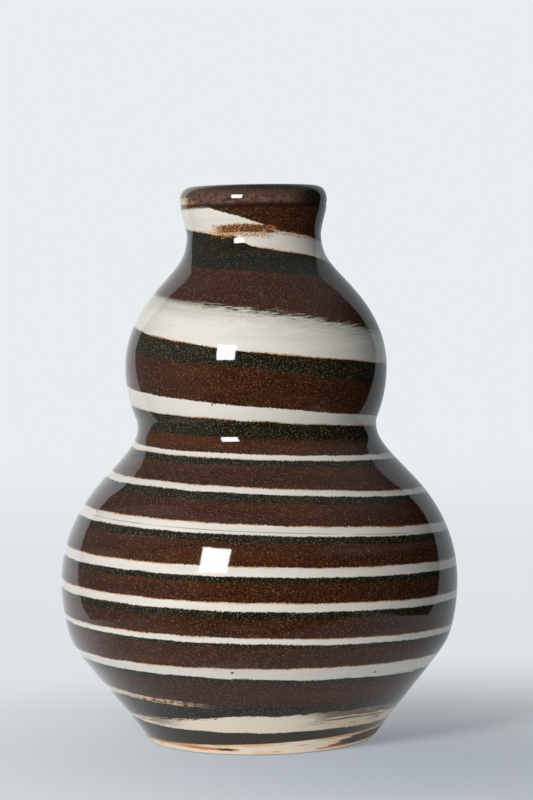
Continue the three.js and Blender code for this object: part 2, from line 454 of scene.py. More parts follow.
# %% [markdown]
# ## Finishes
#
# The three clays lie under one clear glaze. A border between two clays isn't a clean line: the
# thrower's fingers drag the softer clay along, and iron from the dark clay bleeds into the cream
# as an orange thread. Each piece carries, at every point, its height over the edges around it.
# The material adds waver and drag to those heights, so a border runs unbroken over the joint.

# %% Colours, written as they would be mixed in sRGB
def tone(red, green, blue):
    """Blender's linear colour for an sRGB one of 0 to 255 a channel."""
    shares = [value / 255 for value in (red, green, blue)]
    linear = [s / 12.92 if s <= 0.04045 else ((s + 0.055) / 1.055) ** 2.4 for s in shares]
    return (*linear, 1.0)


BROWN = tone(75, 42, 23)
BROWN_DEEP = tone(42, 22, 12)
# A purple-grey that paints a reflection on the brown clay and the wedge, and is the real brown smear at the
# last turn's ends.
BROWN_REFLECTION_AND_SMEAR = tone(84, 60, 52)
BROWN_RUST = tone(86, 45, 21)
BLACK_CLAY = tone(22, 20, 13)
BLACK_OLIVE = tone(40, 38, 26)
BLACK_FLOOR_REFLECTION = tone(60, 52, 42)
CREAM_CLAY = tone(233, 226, 214)
CREAM_GREY = tone(190, 188, 173)
CREAM_SMOKE = tone(122, 109, 90)
CRYSTAL = tone(208, 184, 132)
HAZE = tone(176, 138, 106)
IRON = tone(192, 116, 36)
IRON_TAN = tone(184, 122, 64)
PEACH = tone(229, 203, 172)
IRON_DARK = tone(78, 42, 20)
HAIRLINE = tone(88, 80, 70)
BARE = tone(250, 231, 208)
BARE_FLASH = tone(228, 172, 122)
STAIN = tone(206, 112, 46)
STAIN_PALE = tone(222, 158, 88)
# A dark brown for soot and smears, also used as the foot's painted contact shadow.
SOOT_AND_SHADOW = tone(62, 36, 25)


# %% Helpers for patterns in millimetres
MIX_SHARE, MIX_FIRST, MIX_SECOND, MIX_COLOUR = 0, 6, 7, 2
DIMMEST_SPECK = 0.25


def mix(share, first, second):
    """The first colour where the share is 0, the second where it is 1."""
    settings = {"data_type": "RGBA", "clamp_factor": True}
    inputs = {MIX_SHARE: share, MIX_FIRST: first, MIX_SECOND: second}
    return share.graph.node("ShaderNodeMix", settings, inputs, output=MIX_COLOUR)


def between(value, low, high):
    """0 below low and 1 above high, eased between. It may fall instead, with low above high."""
    start, end = (0.0, 1.0) if low < high else (1.0, 0.0)
    inputs = {
        "Value": value,
        "From Min": min(low, high),
        "From Max": max(low, high),
        "To Min": start,
        "To Max": end,
    }
    return value.graph.node("ShaderNodeMapRange", {"interpolation_type": "SMOOTHSTEP"}, inputs)


def window(value, low, high, soft):
    """1 between two values, easing off over a soft width on either side."""
    return between(value, low - soft, low) * between(value, high + soft, high)


def scaled(x, y, z, across, up):
    """A place in a pattern, with the pattern's scale across the vase and its scale up it."""
    return x.graph.vector(x * across, y * across, z * up)


def noise(place, detail, roughness=0.5):
    """Soft random values round 0.5."""
    inputs = {"Vector": place, "Scale": 1.0, "Detail": detail, "Roughness": roughness}
    return place.graph.node("ShaderNodeTexNoise", {"noise_dimensions": "3D"}, inputs)


def specks(x, y, z, size, share, reach):
    """Crystals or pits: a share of the cells of a random net hold one, at its middle."""
    inputs = {"Vector": x.graph.vector(x, y, z), "Scale": 1 / size, "Randomness": 1.0}
    cell = x.graph.node("ShaderNodeTexVoronoi", {"feature": "F1", "distance": "EUCLIDEAN"}, inputs)
    chance, strength, _ = x.graph.split(cell.other("Color"))
    middle = between(cell.other("Distance"), reach, reach / 3)
    return middle * is_more(share, chance) * (strength * (1 - DIMMEST_SPECK) + DIMMEST_SPECK)


def attribute(graph, name):
    settings = {"attribute_type": "GEOMETRY", "attribute_name": name}
    return graph.node("ShaderNodeAttribute", settings, None, output="Fac")


def millimetres(graph):
    place = graph.node("ShaderNodeTexCoord", None, None, output="Object")
    in_mm = graph.node("ShaderNodeVectorMath", {"operation": "SCALE"}, {0: place, "Scale": 1 / MM})
    return graph.split(in_mm)


# %% [markdown]
# ## The dark clays
#
# The brown clay is sandy, and the black one holds golden crystals that grew in the glaze as it
# cooled. An image would show its pixels close up and needs a layout on the surface. Noise and a
# Voronoi net need neither, and a random choice of the net's cells scatters the crystals.

# %% The brown and the black clay
CRYSTALS_THICKEN = (150.0, 138.0)
CRYSTAL_SHIFT = 7


def brown_clay(x, y, z):
    """Dark brown, sandy at a third of a millimetre, with rusty zones drawn out by the wheel and pale
    purple-grey streaks that are a painted reflection of the room.
    """
    streaks = noise(scaled(x, y, z, across=0.02, up=0.16), detail=2.0)
    grain = noise(scaled(x, y, z, across=1.6, up=1.8), detail=2.0, roughness=0.7)
    rusty = between(streaks, 0.5, 0.72) * 0.55
    # Painted reflection: pale purple-grey streaks stand in for the room mirrored in the glaze.
    painted_reflection = between(streaks, 0.47, 0.3) * 0.5
    crystals = specks(x, y, z, size=0.58, share=0.5, reach=0.42) * 0.55
    colour = mix(between(grain, 0.36, 0.64), BROWN_DEEP, BROWN)
    colour = mix(rusty, colour, BROWN_RUST)
    colour = mix(painted_reflection, colour, BROWN_REFLECTION_AND_SMEAR)
    return mix(crystals, colour, HAZE)


def black_clay(x, y, z):
    """Nearly black, with fine golden crystals, which lie thick on the bulbs and thin at the neck."""
    grain = noise(scaled(x, y, z, across=1.9, up=2.1), detail=2.0, roughness=0.7)
    cloud = noise(scaled(x, y, z, across=0.05, up=0.3), detail=1.0)
    olive = between(grain + cloud * 0.3, 0.5, 0.82)
    thick = between(z, *CRYSTALS_THICKEN)
    crystals = specks(x + CRYSTAL_SHIFT, y, z, size=0.42, share=thick * 0.2 + 0.4, reach=0.42)
    strength = thick * 0.22 + 0.33
    return mix(crystals * strength, mix(olive, BLACK_CLAY, BLACK_OLIVE), CRYSTAL)


# %% [markdown]
# ## Drag marks
#
# Wet fingers pulled the borders along as the pot turned, so they are streaked and torn, and harder
# on some stretches than on others. The mesh could be cut along such a border only with very many
# triangles. Adding streaks to a height in the material costs none.
#
# The stretches below are places on the spiral, counted in turns from the front: where each starts
# and ends, and over what part of a turn it eases in and out. Strengths are millimetres of drag.

# %% Where the thrower's fingers dragged a border
WIDE_BAND = (0.93, 1.22, 0.08)
WIDE_BAND_FUZZ = (0.8, 1.22, 0.08)
WIDE_BAND_TEARS = (0.97, 1.25, 0.08)
WISP = (9.5, 10.3, 0.1)
LAST_BAND = (10.6, 11.5, 0.1)
LOW_BANDS = (9.5, 11.5, 0.1)
DRAGGED_BASE = (8.99, 9.16, 0.03)
PLAIN_DRAG, BLACK_DRAG = 0.35, 0.9
WIDE_BAND_DRAG, WISP_DRAG, LAST_BAND_DRAG, BASE_DRAG = 2.6, 2.4, 2.6, 2.4
WIDE_BAND_TORN, LOW_BANDS_TORN = 9.0, 2.0
WAVER_REACH, CRUMB_REACH, GRAIN_REACH = 0.8, 0.55, 0.75
WIDE_BAND_SOFTNESS, BORDER_SOFTNESS = 0.9, 0.12


def ragged(x, y, z):
    """How far a border strays from its line, in millimetres: a slow waver, crumbs and sandy grains."""
    waver = noise(scaled(x, y, z, across=0.09, up=0.2), detail=2.0) - 0.5
    crumbs = noise(scaled(x, y, z, across=0.8, up=1.3), detail=2.0, roughness=0.7) - 0.5
    grains = noise(scaled(x, y, z, across=2.3, up=2.3), detail=1.0) - 0.5
    return waver * WAVER_REACH + crumbs * CRUMB_REACH + grains * GRAIN_REACH


def streaks_along(x, y, over, spiral):
    """Streaks that run along a band, from -0.5 to 0.5."""
    place = x.graph.vector(x * 0.06, y * 0.06 + spiral, over * 1.4)
    return noise(place, detail=3.0, roughness=0.65) - 0.5


def top_drag(spiral):
    """How strongly the streaks pull a cream band's upper edge, in millimetres."""
    wide_band = window(spiral, *WIDE_BAND) * WIDE_BAND_DRAG
    wisp = window(spiral, *WISP) * WISP_DRAG
    last_band = window(spiral, *LAST_BAND) * LAST_BAND_DRAG
    return wide_band + wisp + last_band + PLAIN_DRAG


def base_drag(spiral):
    return window(spiral, *DRAGGED_BASE) * BASE_DRAG + PLAIN_DRAG


def top_softness(spiral):
    """How far to each side a cream band's upper edge fades. Its fringe is fuzzy on the wide band."""
    return window(spiral, *WIDE_BAND_FUZZ) * WIDE_BAND_SOFTNESS + BORDER_SOFTNESS


def torn(x, y, z, spiral):
    """Tears in the fringe of the bands that were dragged hardest, in millimetres."""
    tears = noise(scaled(x, y, z, across=0.22, up=1.9), detail=3.0, roughness=0.8) - 0.5
    wide_band = window(spiral, *WIDE_BAND_TEARS) * WIDE_BAND_TORN
    return tears * (wide_band + window(spiral, *LOW_BANDS) * LOW_BANDS_TORN)


# %% [markdown]
# ## The cream clay
#
# Pale clay shows everything: iron creeps into it from the dark clays as an orange thread, the
# glaze runs thin and grey over the wide band, and the last turn is smoked. Each mark is laid over
# the one before with a mix node, whose share is worked out from the heights and the spiral.

# %% The cream clay and what the iron does to it
THIN_GLAZE = (0.75, 1.3, 0.1)
LOW_THREADS_END, HIGH_THREADS_START = (3.4, 2.4), (3.4, 4.4)
HAIRLINE_RUN = (4.83, 5.13, 0.02)
HAIRLINE_MIDDLE, HAIRLINE_SLOPE = 5.0, 2.5
PITTED = (8.98, 9.1, 0.02)
LAST_TURN = (10.6, 10.8)
LAST_TURN_BOUNCE_LIGHT = (10.6, 10.9)
LAST_TURN_CLEAN = (10.92, 11.03, 0.05)
LAST_TURN_ENDS = (11.02, 11.13)
PIT_SHIFT = 3
# Heights over an edge, in millimetres
THIN_GLAZE_HEIGHTS = (-5.5, -0.2)
LOW_THREAD, HIGH_THREAD = (-0.6, 0.05, 0.5), (-0.5, -0.05)
HAIRLINE_HEIGHTS = (0.9, 0.96, 0.11)
SMOKE_HEIGHTS = (-3.0, -1.2)


def iron_threads(colour, top, base, patches, spiral):
    """Iron bleeds into the cream from below on the upper turns, and from above on the lower ones."""
    low = window(base, *LOW_THREAD) * between(spiral, *LOW_THREADS_END)
    high = between(top, *HIGH_THREAD) * between(spiral, *HIGH_THREADS_START)
    colour = mix(low * between(patches, 0.36, 0.56) * 0.85, colour, IRON)
    return mix(high * between(patches, 0.32, 0.5) * 0.85, colour, IRON)


def hairline(colour, over_base, cloud, spiral):
    """A fine grey line that slants across one turn."""
    height = over_base + (spiral - HAIRLINE_MIDDLE) * HAIRLINE_SLOPE
    line = window(height, *HAIRLINE_HEIGHTS) * window(spiral, *HAIRLINE_RUN)
    return mix(line * between(cloud, 0.3, 0.5) * 0.8, colour, HAIRLINE)


def last_turn(colour, top, along, sand, spiral):
    """The last turn is painted warmer and paler as bounce light from the paper, and both its ends are
    smeared with grey and brown.
    """
    ending = between(spiral, *LAST_TURN_ENDS)
    # Painted bounce light: the last turn is warmed and lightened towards the bare clay's tone.
    colour = mix(between(spiral, *LAST_TURN_BOUNCE_LIGHT) * 0.7, colour, BARE)
    colour = mix(ending * 0.9, colour, PEACH)
    height = top + along * 12 + (sand - 0.5) * 2 + ending * 0.8
    smoke = between(height, *SMOKE_HEIGHTS) * between(spiral, *LAST_TURN)
    colour = mix(smoke * (1 - window(spiral, *LAST_TURN_CLEAN)) * 0.8, colour, CREAM_SMOKE)
    return mix(smoke * ending * 0.6, colour, BROWN_REFLECTION_AND_SMEAR)


def cream_clay(x, y, z, top, base, over_base, along, spiral):
    """Warm white, greyed where the glaze runs thin, with iron threads, a hairline and a few pits."""
    cloud = noise(scaled(x, y, z, across=0.04, up=0.5), detail=2.0)
    patches = noise(scaled(x, y, spiral, across=0.07, up=6), detail=2.0)
    sand = noise(scaled(x, y, z, across=1.3, up=1.9), detail=2.0, roughness=0.7)
    uneven_top = top + along * 3 + (sand - 0.5) * 4
    thin_glaze = between(uneven_top, *THIN_GLAZE_HEIGHTS) * window(spiral, *THIN_GLAZE)
    colour = mix(between(cloud, 0.4, 0.75) * 0.25, CREAM_CLAY, CREAM_GREY)
    colour = mix(thin_glaze * 0.85, colour, CREAM_GREY)
    colour = iron_threads(colour, top, base, patches, spiral)
    colour = hairline(colour, over_base, cloud, spiral)
    colour = last_turn(colour, top, along, sand, spiral)
    share = window(spiral, *PITTED) * 0.05 + 0.008
    pits = between(specks(x, y + PIT_SHIFT, z, size=1.7, share=share, reach=0.5), 0.6, 0.8)
    return mix(pits * 0.9, colour, IRON_DARK)


# %% Stains that lie over the borders
# Heights over the band's edge in millimetres, and stretches of the spiral
CLOUD_HEIGHTS, CLOUD_RUN = (-1.4, 1.2, 1.4), (-0.08, 0.02, 0.04)
FRINGE_HEIGHTS, FRINGE_RUN = (-0.6, 0.1, 0.6), (0.03, 0.16, 0.08)
CORE_HEIGHTS, CORE_RUN = (-0.3, 1.3, 0.7), (-0.06, 0.03, 0.04)
GROUND_FOOT, GROUND_TOP = (-1.8, -1.2), (0.9, 0.3)
GROUND_STARTS, GROUND_DEEPENS, GROUND_ENDS = (-0.15, -0.12), (-0.14, -0.07), (0.03, -0.01)
GROUND_THINNEST = 0.04
WISP_HEIGHTS, WISP_RUN = (-1.2, -0.2, 0.35), (9.6, 9.9, 0.06)


def neck_stipple(colour, x, y, z, over_edge, spiral):
    """Iron and brown grains where the first cream tongue lies over the second, at the neck's front."""
    grains = noise(scaled(x, y, z, across=1.4, up=1.9), detail=1.0, roughness=0.75)
    smears = noise(scaled(x, y, z, across=0.3, up=1.2), detail=2.0) - 0.5
    dither = grains + smears * 0.5
    rough = (dither - 0.5) * 3
    depth = (over_edge + rough * 0.4) / (between(spiral, *GROUND_DEEPENS) + GROUND_THINNEST)
    ground = between(depth, *GROUND_FOOT) * between(over_edge, *GROUND_TOP)
    ground = ground * between(spiral, *GROUND_STARTS) * between(spiral, *GROUND_ENDS)
    colour = mix(ground * 0.9, colour, PEACH)
    cloud = window(over_edge, *CLOUD_HEIGHTS) * window(spiral, *CLOUD_RUN)
    fringe = window(over_edge, *FRINGE_HEIGHTS) * window(spiral, *FRINGE_RUN)
    share = larger(cloud, fringe * 0.6)
    orange = between(dither + share * 0.14, 0.57, 0.7) * between(share, 0.02, 0.2)
    colour = mix(orange * 0.85, colour, IRON_TAN)
    core = window(over_edge + rough * 0.5, *CORE_HEIGHTS) * window(spiral, *CORE_RUN)
    colour = mix(core * 0.65, colour, IRON_TAN)
    dark = between(1.0 - dither + core * 0.21 + share * 0.04, 0.6, 0.7)
    return mix(dark * between(core + share * 0.5, 0.05, 0.4) * 0.9, colour, IRON_DARK)


def rusty_wisp(colour, x, y, z, top, spiral):
    """The last thread of the cream clay, low on the left, drawn out thin and stained with iron."""
    sand = noise(scaled(x, y, z, across=0.5, up=1.9), detail=2.0, roughness=0.7)
    thread = window(top, *WISP_HEIGHTS) * window(spiral, *WISP_RUN)
    colour = mix(thread * between(sand, 0.36, 0.5) * 0.7, colour, IRON_TAN)
    return mix(thread * between(sand, 0.44, 0.53) * 0.8, colour, PEACH)


# %% The glaze's relief
WAVES, FINGER_MARKS, RIDGE, HOLLOW = 0.035, 0.16, 0.32, 0.24
RIDGE_HEIGHT, RIDGE_REACH = 129.0, 8.0
NECK_HOLLOW, WAIST_HOLLOW, HOLLOW_REACH = 161.2, 98.7, 3.0


def bell(value):
    power = -(value * value)
    return power.sum("EXPONENT", power)


def glaze_relief(x, y, z):
    """Finger ridges, narrow hollows at the neck and waist and the glaze's slight waves, in millimetres."""
    waves = noise(scaled(x, y, z, across=0.16, up=0.16), detail=2.0)
    finger_marks = noise(scaled(x, y, z, across=0.012, up=0.1), detail=1.0)
    ridge = bell((z - RIDGE_HEIGHT) / RIDGE_REACH)
    hollows = bell((z - NECK_HOLLOW) / HOLLOW_REACH) + bell((z - WAIST_HOLLOW) / HOLLOW_REACH)
    return waves * WAVES + finger_marks * FINGER_MARKS + ridge * RIDGE - hollows * HOLLOW


# %% [markdown]
# ## One group for three clays
#
# A node group is built once and used by all three glazed materials. It works out from the heights
# which clay shows at a point, whatever piece the point is on, so a border may stray over a joint.
# With a material for each clay alone, the colours would change along the joint's straight line.

# %% The marbled group, shared by the three glazed clays
PRESENT = (0.05, 0.5)
BLACK_FADES = 0.3
# Heights of the painted shade under the lip.
UNDER_LIP_SHADE = (LIP_SEAT - 0.9, LIP_SEAT - 0.3)


def marbled_group():
    tree = bpy.data.node_groups.new("marbled clays", "ShaderNodeTree")
    for name, kind in (("Color", "NodeSocketColor"), ("Height", "NodeSocketFloat")):
        tree.interface.new_socket(name=name, in_out="OUTPUT", socket_type=kind)
    graph = Graph(tree)
    x, y, z = millimetres(graph)
    spiral = attribute(graph, "spiral")
    over = {name: attribute(graph, f"over_{name}") for name in ("top", "edge", "base", "foot", "next")}
    depth = {name: attribute(graph, f"depth_{name}") for name in ("cream", "black", "next")}
    shows = {name: between(value, *PRESENT) for name, value in depth.items()}
    stray = ragged(x, y, z)
    along = streaks_along(x, y, over["edge"], spiral)
    along_next = streaks_along(x, y, over["next"], spiral + 1)
    top = over["top"] + stray + along * top_drag(spiral) + torn(x, y, z, spiral)
    base = over["base"] + stray + along * base_drag(spiral)
    foot = over["foot"] + stray + along * BLACK_DRAG
    following = over["next"] + stray + along_next * top_drag(spiral + 1) + torn(x, y, z, spiral + 1)
    over_base = between(base, -BORDER_SOFTNESS, BORDER_SOFTNESS)
    under_base = between(base, BORDER_SOFTNESS, -BORDER_SOFTNESS)
    is_cream = between(top / top_softness(spiral), 1.0, -1.0) * over_base * shows["cream"]
    is_next = between(following / top_softness(spiral + 1), 1.0, -1.0) * shows["next"]
    is_black = under_base * between(foot, -BLACK_FADES, BLACK_FADES) * shows["black"]
    # Painted reflection: on the last turn the black is lightened to a grey-brown, the floor mirrored in the
    # glaze.
    black = mix(between(spiral, *LAST_TURN) * 0.75, black_clay(x, y, z), BLACK_FLOOR_REFLECTION)
    dark = mix(is_black, brown_clay(x, y, z), black)
    nearer = is_more(magnitude(top), magnitude(following))
    crown = top + (following - top) * nearer
    light = cream_clay(x, y, z, crown, base, over["base"], along, spiral + nearer)
    colour = mix(smaller(is_cream + is_next, 1.0), dark, light)
    colour = neck_stipple(colour, x, y, z, over["edge"], spiral)
    colour = rusty_wisp(colour, x, y, z, top, spiral)
    # Painted shade: the clay just under the lip, along the groove, is darkened.
    colour = mix(between(z + stray * 0.4, *UNDER_LIP_SHADE) * 0.85, colour, BROWN_DEEP)
    graph.node("NodeGroupOutput", None, {"Color": colour, "Height": glaze_relief(x, y, z)})
    return tree


MARBLED = marbled_group()
print("the marbled group has", len(MARBLED.nodes), "nodes")


# %% A glazed material for each clay
GLAZE_ROUGHNESS = 0.05
GLAZE_IOR = 1.5


def new_material(name):
    material = bpy.data.materials.new(name)
    material.use_nodes = True
    material.node_tree.nodes.clear()
    return material, Graph(material.node_tree)


def surface(graph, inputs):
    shader = graph.node("ShaderNodeBsdfPrincipled", None, inputs)
    graph.node("ShaderNodeOutputMaterial", None, {"Surface": shader})


def bump(height):
    """A bump from a height in millimetres."""
    return height.graph.node("ShaderNodeBump", None, {"Height": height, "Distance": MM, "Strength": 1.0})


def glaze_over(graph, colour, relief):
    """A clear gloss glaze over the clay."""
    surface(graph, {
        "Base Color": colour,
        "Roughness": GLAZE_ROUGHNESS,
        "IOR": GLAZE_IOR,
        "Normal": bump(relief),
    })


def glazed(name):
    material, graph = new_material(name)
    marbled = graph.node("ShaderNodeGroup", {"node_tree": MARBLED})
    glaze_over(graph, marbled, marbled.other("Height"))
    return material


GLAZED = {clay: glazed(f"{clay}_clay_under_glaze") for clay in ("cream", "black", "brown")}

# %% [markdown]
# ## The turns of clay
#
# Python lays out each strip from the edge functions: a closed shell, fine on the outside, with
# joint faces above and below. The tree throws it, and the result becomes a plain mesh. A turned
# pot has no facets, so the normals come from the formula of the outline, not from the faces.

# %% Lay out a strip as a closed shell
COLUMN_ANGLE = 2.0
ROW_HEIGHT = 1.1
OUTSIDE, INSIDE, JOINT = 0, 1, 2


def strip_mesh(name, first, last, top, bottom):
    """A closed shell over the stretch of a layer that has some depth, with what the finish reads."""
    columns = np.arange(first, last + COLUMN_ANGLE / 2, COLUMN_ANGLE)
    deep = np.flatnonzero(top(columns) - bottom(columns) > 0)
    angles = columns[max(deep[0] - 1, 0):deep[-1] + 2]
    lows, highs = bottom(angles), top(angles)
    rows = max(2, round(float((highs - lows).max()) / ROW_HEIGHT))
    levels = np.linspace(0, 1, rows + 1)
    heights = lows[:, None] + (highs - lows)[:, None] * levels
    turn = round((first + last) / 2 / 360)
    spots = []
    for inwards, order in ((0.0, heights), (1.0, heights[:, ::-1])):
        around = np.broadcast_to((angles - 360 * turn)[:, None], order.shape)
        spots.append(np.stack([around, np.full(order.shape, inwards), order], axis=2))
    points = np.concatenate(spots, axis=1)
    count = points.shape[1]
    faces, sides = [], []
    for k in range(len(angles) - 1):
        for i in range(count):
            j = (i + 1) % count
            side = OUTSIDE if i < rows else INSIDE if rows < i < count - 1 else JOINT
            faces.append((k * count + i, (k + 1) * count + i, (k + 1) * count + j, k * count + j))
            sides.append(side)
    for k, turned in ((0, False), (len(angles) - 1, True)):
        for i in range(rows):
            face = [k * count + n for n in (i, i + 1, count - 2 - i, count - 1 - i)]
            faces.append(face[::-1] if turned else face)
            sides.append(JOINT)
    mesh = bpy.data.meshes.new(name)
    mesh.from_pydata(points.reshape(-1, 3), [], faces)
    mesh.attributes.new("side", "INT", "FACE").data.foreach_set("value", np.array(sides, np.int32))
    spiral = np.repeat(angles, count)
    add_heights(mesh, spiral, points[:, :, 2].ravel())
    return mesh


def add_heights(mesh, spiral, z):
    """Stores at each point its place on the spiral, and its height over the edges around it."""
    edge, top = cream_edge(spiral), tongue_edge(spiral)
    base = edge - cream_depth(spiral)
    values = {
        "spiral": spiral / 360,
        "over_top": z - top,
        "over_edge": z - edge,
        "over_base": z - base,
        "over_foot": z - black_edge(spiral),
        "over_next": z - cream_edge(spiral + 360),
        "depth_cream": top - base,
        "depth_black": base - black_edge(spiral),
        "depth_next": cream_depth(spiral + 360),
    }
    for name, value in values.items():
        data = mesh.attributes.new(name, "FLOAT", "POINT").data
        data.foreach_set("value", value.astype(np.float32))


# %% Throw a strip on the wheel
def throw(name, strip, material):
    """Runs the throwing tree on a strip and returns the result as a plain mesh object."""
    piece = bpy.data.objects.new(name, strip)
    bpy.context.scene.collection.objects.link(piece)
    wheel = piece.modifiers.new("wheel", "NODES")
    wheel.node_group = THROWING
    for socket in THROWING.interface.items_tree:
        if socket.in_out == "INPUT" and socket.name == "Clay":
            wheel[socket.identifier] = material
    depsgraph = bpy.context.evaluated_depsgraph_get()
    piece_now = piece.evaluated_get(depsgraph)
    thrown = bpy.data.meshes.new_from_object(piece_now, depsgraph=depsgraph)
    piece.modifiers.remove(wheel)
    piece.data = thrown
    thrown.name = name
    return piece


# %% Normals from the outline's own formula
def slope(radius, z):
    step = 0.01
    return (radius(z + step, FORM) - radius(z - step, FORM)) / (2 * step)


def turned_normals(mesh):
    sides = np.empty(len(mesh.polygons), np.int32)
    mesh.attributes["side"].data.foreach_get("value", sides)
    mesh.shade_smooth()
    places = np.empty(len(mesh.vertices) * 3)
    mesh.vertices.foreach_get("co", places)
    x, y, z = places.reshape(-1, 3).T / MM
    flat = np.hypot(x, y)
    corners = np.empty(len(mesh.loops), np.int32)
    mesh.loops.foreach_get("vertex_index", corners)
    face_normals = np.empty(len(mesh.polygons) * 3)
    mesh.polygons.foreach_get("normal", face_normals)
    totals = np.empty(len(mesh.polygons), np.int32)
    mesh.polygons.foreach_get("loop_total", totals)
    corner_side = np.repeat(sides, totals)
    normals = np.repeat(face_normals.reshape(-1, 3), totals, axis=0)
    for side, radius, way in ((OUTSIDE, outer_radius, 1.0), (INSIDE, inner_radius, -1.0)):
        here = corner_side == side
        at = corners[here]
        lean = -slope(radius, z[at])
        turned = np.stack([x[at] / flat[at], y[at] / flat[at], lean], axis=1)
        normals[here] = way * turned / np.linalg.norm(turned, axis=1)[:, None]
    mesh.normals_split_custom_set(normals.tolist())


# %% Throw every turn and seat it in its place
PIECES = []
LAYERS = {
    "cream": (cream_top, cream_bottom),
    "black": (cream_bottom, black_bottom),
    "brown": (black_bottom, next_cream_top),
}


def triangles(mesh):
    mesh.calc_loop_triangles()
    return len(mesh.loop_triangles)


def finish_piece(piece, node):
    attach(piece, "root")
    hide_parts(node)
    PIECES.append(piece)


def add_turn(node, clay, first, last, top, bottom):
    strip = strip_mesh(node, first, last, top, bottom)
    piece = throw(f"glazed_{node}", strip, GLAZED[clay])
    turned_normals(piece.data)
    finish_piece(piece, node)


add_turn("neck_cream_tongue", "cream", FIRST_ANGLE, TONGUE_TIP_ANGLE, tongue_top, cream_top)
add_turn("neck_brown_turn", "brown", TONGUE_LIFT_ANGLE, 180.0, lip_seat, tongue_top)
for turn in range(TURNS):
    first, last = 360.0 * turn - 180, 360.0 * turn + 180
    for clay, (top, bottom) in LAYERS.items():
        node = f"{clay}_turn_{turn + 1:02d}"
        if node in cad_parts:
            add_turn(node, clay, first, last, top, bottom)
print("turns of clay:", len(PIECES), "with", sum(triangles(p.data) for p in PIECES), "triangles")

# %% [markdown]
# ## The lip
#
# The lip is brown clay, rolled over a fine groove. It is a turned ring, as the foot and its wedge
# are, and all three are lofted: a section is drawn at each angle, and faces join each section to
# the next. Spin would do for the lip, but not for the foot, whose upper edge tilts.

# %% A ring lofted from sections round the axis
SHARP_ANGLE = math.radians(40)
SLIVER_LENGTH = 1e-7


def turned_ring(name, sections, angles, closed):
    """Sections are lists of (radius, height) that run up the outside and down the inside."""
    rings = np.array(sections, float)
    theta = np.radians(angles)[:, None]
    x = rings[:, :, 0] * np.sin(theta)
    y = -rings[:, :, 0] * np.cos(theta)
    points = np.stack([x, y, rings[:, :, 1]], axis=2) * MM
    steps, count = points.shape[:2]
    faces = []
    for k in range(steps if closed else steps - 1):
        n = (k + 1) % steps
        for i in range(count):
            j = (i + 1) % count
            faces.append((k * count + i, n * count + i, n * count + j, k * count + j))
    if not closed:
        faces.append(list(range(count)))
        faces.append([(steps - 1) * count + i for i in reversed(range(count))])
    mesh = bpy.data.meshes.new(name)
    mesh.from_pydata(points.reshape(-1, 3), [], faces)
    close_seams(mesh)
    piece = bpy.data.objects.new(name, mesh)
    bpy.context.scene.collection.objects.link(piece)
    return piece


def close_seams(mesh):
    """Welds the points that meet on the axis and at thin ends, and turns the faces outwards."""
    shape = bmesh.new()
    shape.from_mesh(mesh)
    bmesh.ops.remove_doubles(shape, verts=shape.verts, dist=WELD_DISTANCE)
    bmesh.ops.dissolve_degenerate(shape, edges=shape.edges, dist=SLIVER_LENGTH)
    bmesh.ops.recalc_face_normals(shape, faces=shape.faces)
    shape.to_mesh(mesh)
    shape.free()
    mesh.shade_smooth()
    mesh.set_sharp_from_angle(angle=SHARP_ANGLE)


ROUND = np.arange(-180, 180, COLUMN_ANGLE)

# %% The lip
LIP_SWELL = 0.15
LIP_SHOULDER = 5.0
LIP_ROUND_OUT = 3.8
LIP_ROUND_DOWN_IN = 3.0
LIP_FULLNESS = 2.3
LIP_ROUND_STEPS = 12
GROOVE_DEPTH = 0.16
GROOVE_HEIGHT = 1.2
GROOVE_LEDGE = 0.04
GROOVE_STEPS = 6


def lip_section():
    """Up a notch and the full round outside, over the crest and down the rounded inside."""
    seat_out = float(outer_radius(np.float64(LIP_SEAT), FORM))
    seat_in_height = float(inside_height(LIP_SEAT, FORM))
    seat_in = float(inner_radius(np.float64(seat_in_height), FORM))
    round_up = FORM["vase_height"] - LIP_SHOULDER
    crest = seat_out + LIP_SWELL - LIP_ROUND_OUT
    in_start = FORM["vase_height"] - LIP_ROUND_DOWN_IN
    groove = [(seat_out - GROOVE_DEPTH * (1 - share) ** 2, LIP_SEAT + GROOVE_LEDGE + GROOVE_HEIGHT * share)
              for share in np.linspace(0, 1, GROOVE_STEPS + 1)]
    quarter = np.linspace(0, math.pi / 2, LIP_ROUND_STEPS + 1)
    outwards = np.cos(quarter) ** (2 / LIP_FULLNESS)
    upwards = np.sin(quarter) ** (2 / LIP_FULLNESS)
    outer_round = zip(crest + LIP_ROUND_OUT * outwards, round_up + LIP_SHOULDER * upwards)
    inner_round = zip(crest - (crest - seat_in) * np.sin(quarter[1:]),
                      in_start + LIP_ROUND_DOWN_IN * np.cos(quarter[1:]))
    return [(seat_out, LIP_SEAT), *groove, *outer_round, *inner_round, (seat_in, seat_in_height)]


# %% The lip's own look
LIP_PAINTED_REFLECTION = tone(128, 101, 89)
CREST_HEIGHTS, CREST_SIDES = (176.4, 179.5), (-14.0, 8.0)
RIGHT_SIDE = (11.0, 19.0)
SMEAR_SIDE, SMEAR_HEIGHTS = (-17.5, -20.5), (173.9, 174.7, 0.5)
SPOT_SIDE, SPOT_HEIGHTS = (-20.4, -22.4), (174.6, 175.6, 0.9)


